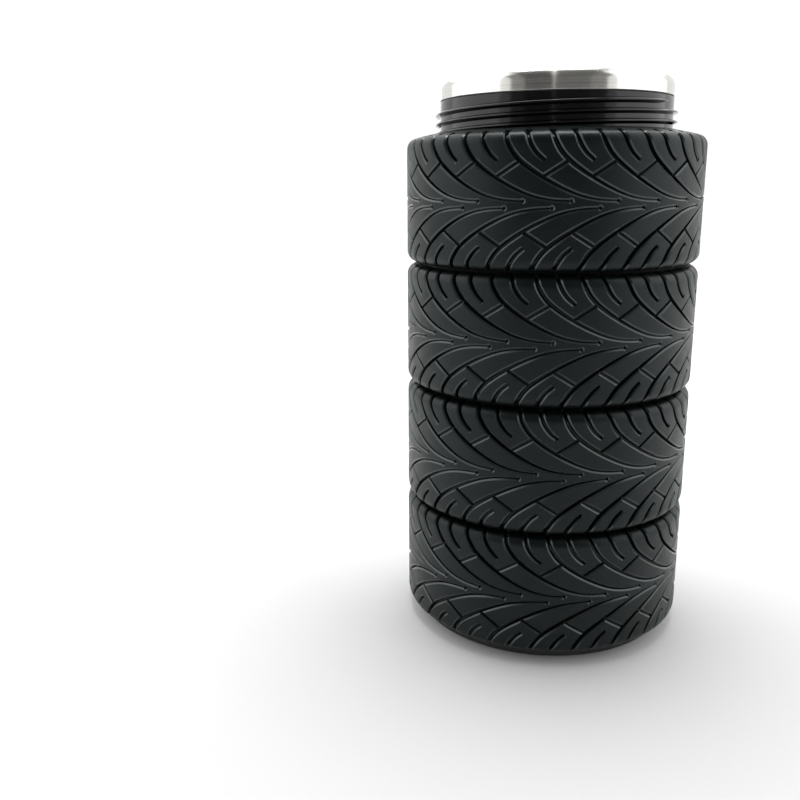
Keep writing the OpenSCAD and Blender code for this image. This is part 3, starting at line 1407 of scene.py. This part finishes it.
@dataclass
class Studio:
    """Camera, floor and soft light."""

    camera_place: tuple[float, float, float] = (-46.7, -270.5, 137.9)
    pitch_down: float = 14.09
    roll: float = -0.44
    lens: float = 38.84
    dome: float = 640.0
    centre_height: float = 130.0
    top_height: float = 860.0
    top_reach: float = 260.0
    top_back: float = 180.0
    top_glow: float = 8.8
    world_glow: float = 1.05
    floor_reach: float = 6000.0
    fade_from: float = 0.10
    fade_to: float = 0.70
    glow_near: float = 0.03
    glow_far: float = 0.45
    cards: tuple[Card, ...] = (
        Card("card_left_inner", -27.5, -1.12, -8.0, 86.0, 0.10, -2.0, True),
        Card("card_right_inner", -0.92, 31.5, -8.0, 86.0, 0.14, 2.0, True),
        Card("card_left_outer", -40.5, -27.5, -8.0, 72.0, 0.26, 0.0, True),
        Card("card_right_outer", 31.5, 47.0, -8.0, 72.0, 0.24, 0.0, True),
        Card("softbox_left", -126.0, -62.0, 2.0, 62.0, 1.9),
        Card("softbox_right", 48.0, 116.0, 2.0, 62.0, 1.9),
        Card("softbox_left_high", -154.0, -126.0, 26.0, 62.0, 2.2),
        Card("softbox_right_high", 116.0, 152.0, 26.0, 62.0, 2.2),
        Card("softbox_back", 152.0, 200.0, 4.0, 66.0, 1.7),
        Card("card_left_low", -118.0, -103.0, -8.0, 1.5, 0.3),
    )

    def facing(self) -> float:
        """Finds the camera's side of the barrel.

        Returns:
            Its angle from the front in radians, turned about Z.
        """
        return math.atan2(self.camera_place[0], -self.camera_place[1])

    def camera(self) -> None:
        """Places the camera."""
        data = bpy.data.cameras.new("camera")
        data.lens = self.lens
        data.sensor_width = 36.0
        data.clip_start, data.clip_end = 0.01, 50.0
        camera = bpy.data.objects.new("camera", data)
        camera.location = Vector(self.camera_place) * MM
        tilt = Euler((math.radians(90.0 - self.pitch_down), 0.0, 0.0)).to_matrix()
        roll = Matrix.Rotation(math.radians(self.roll), 3, "Z")
        camera.rotation_euler = (tilt @ roll).to_euler()
        bpy.context.scene.collection.objects.link(camera)
        bpy.context.scene.camera = camera

    def glowing(self, name: str, strength: float) -> bpy.types.Material:
        """Makes a plain light-giving material.

        Args:
            name: Name of the material.
            strength: Brightness.

        Returns:
            The material.
        """
        material = bpy.data.materials.new(name)
        material.use_nodes = True
        nodes = material.node_tree.nodes
        nodes.clear()
        light = nodes.new("ShaderNodeEmission")
        light.inputs["Strength"].default_value = strength
        output = nodes.new("ShaderNodeOutputMaterial")
        material.node_tree.links.new(light.outputs[0], output.inputs["Surface"])
        return material

    def panel(self, card: Card) -> bpy.types.Object:
        """Builds one curved panel of the dome.

        Args:
            card: The panel's angles and brightness; a negative lean draws its end back towards the
                top, a positive one its start.

        Returns:
            The panel, hidden from the camera's direct view.
        """
        across, up = 12, 16
        vertices, faces = [], []
        for j in range(up + 1):
            rise = j / up
            height = math.radians(card.low + (card.high - card.low) * rise)
            start = card.start + max(card.lean, 0.0) * rise
            end = card.end + min(card.lean, 0.0) * rise
            for i in range(across + 1):
                a = math.radians(start + (end - start) * i / across)
                sine, cosine = math.sin(a), math.cos(a)
                level, lift = math.cos(height), math.sin(height)
                if card.parallel:
                    way = Vector((sine, -cosine * level, cosine * lift))
                    way.rotate(Euler((0.0, 0.0, self.facing())))
                else:
                    way = Vector((sine * level, -cosine * level, lift))
                vertices.append(way * self.dome + Vector((0.0, 0.0, self.centre_height)))
        for j in range(up):
            for i in range(across):
                a = j * (across + 1) + i
                faces.append([a, a + 1, a + across + 2, a + across + 1])
        panel = dress(new_object(card.name, vertices, faces), self.glowing(card.name, card.glow))
        panel.visible_camera = False
        return panel

    def overhead(self) -> None:
        """Hangs the softbox above the barrel."""
        count, reach = 48, self.top_reach
        turns = [2 * math.pi * k / count for k in range(count)]
        rim = [
            (reach * math.cos(a), reach * math.sin(a) + self.top_back, self.top_height) for a in turns
        ]
        softbox = new_object("softbox_top", rim, [list(range(count))])
        dress(softbox, self.glowing("softbox_top", self.top_glow))
        softbox.visible_camera = False

    def floor(self) -> None:
        """Lays a pale floor that grows brighter away from the barrel."""
        size = self.floor_reach
        corners = [(-size, -size, 0), (size, -size, 0), (size, size, 0), (-size, size, 0)]
        ground = new_object("floor", corners, [(0, 1, 2, 3)])
        kit = NodeKit("pale floor")
        distance = kit.tree.nodes.new("ShaderNodeVectorMath")
        distance.operation = "LENGTH"
        kit.link(kit.place, distance.inputs[0])
        fade = kit.tree.nodes.new("ShaderNodeMapRange")
        fade.inputs["From Min"].default_value = self.fade_from
        fade.inputs["From Max"].default_value = self.fade_to
        fade.inputs["To Min"].default_value = self.glow_near
        fade.inputs["To Max"].default_value = self.glow_far
        kit.link(distance.outputs["Value"], fade.inputs["Value"])
        kit.link(fade.outputs[0], kit.shader.inputs["Emission Strength"])
        kit.set(Base_Color=(0.66, 0.66, 0.66, 1.0), Roughness=0.9, Emission_Color=(1.0, 1.0, 1.0, 1.0))
        dress(ground, kit.material)

    def build(self) -> None:
        """Sets up camera, world, panels and floor."""
        self.camera()
        world = bpy.data.worlds.new("studio")
        world.use_nodes = True
        background = world.node_tree.nodes["Background"]
        background.inputs["Color"].default_value = (1.0, 1.0, 1.0, 1.0)
        background.inputs["Strength"].default_value = self.world_glow
        bpy.context.scene.world = world
        bpy.context.scene.view_settings.view_transform = "Standard"
        for card in self.cards:
            self.panel(card)
        self.overhead()
        self.floor()


# ---------------------------------------------------------------- the whole barrel


def dress_frame_nodes(finishes: Finishes) -> None:
    """Gives the frame's own remaining nodes their materials.

    Args:
        finishes: The barrel's materials.
    """
    groups = {
        finishes.core: ("core_tube",),
        finishes.slip: (
            "top_hub", "second_hub", "third_hub", "bottom_hub",
            "upper_slip_ring", "middle_slip_ring", "lower_slip_ring",
        ),
        finishes.seal: ("collar_seal", "centring_ring", "liner_cushion"),
        finishes.foam: ("insulation_sleeve", "insulation_disc"),
    }
    for material, names in groups.items():
        for name in names:
            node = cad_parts[name]
            for slot in node.material_slots:
                slot.material = material
            if not node.material_slots:
                node.data.materials.append(material)
            log.info("%s: kept from the frame, finish %s", name, material.name)


def main() -> None:
    """Builds the studio and every visible piece."""
    logging.basicConfig(level=logging.INFO, format="%(name)s: %(message)s")
    Studio().build()
    finishes = Finishes()
    SteelLiner(finishes.steel).build()
    RoundSeal(finishes.seal, "rim_gasket", "barrel", 0.42, 240).build()
    Neck(finishes.neck).build()
    for number, level in enumerate(("top", "second", "third", "bottom")):
        TyreRing(
            level + "_tyre", level + "_tyre_ring", number, level == "top", finishes.rubber, finishes.edge
        ).build()
    RoundSeal(finishes.seal, "base_gasket", "base_seal", 1.9, 200).build()
    BaseCap(finishes.core).build()
    FootPad(finishes.rubber).build()
    dress_frame_nodes(finishes)


if __name__ == "__main__":
    main()
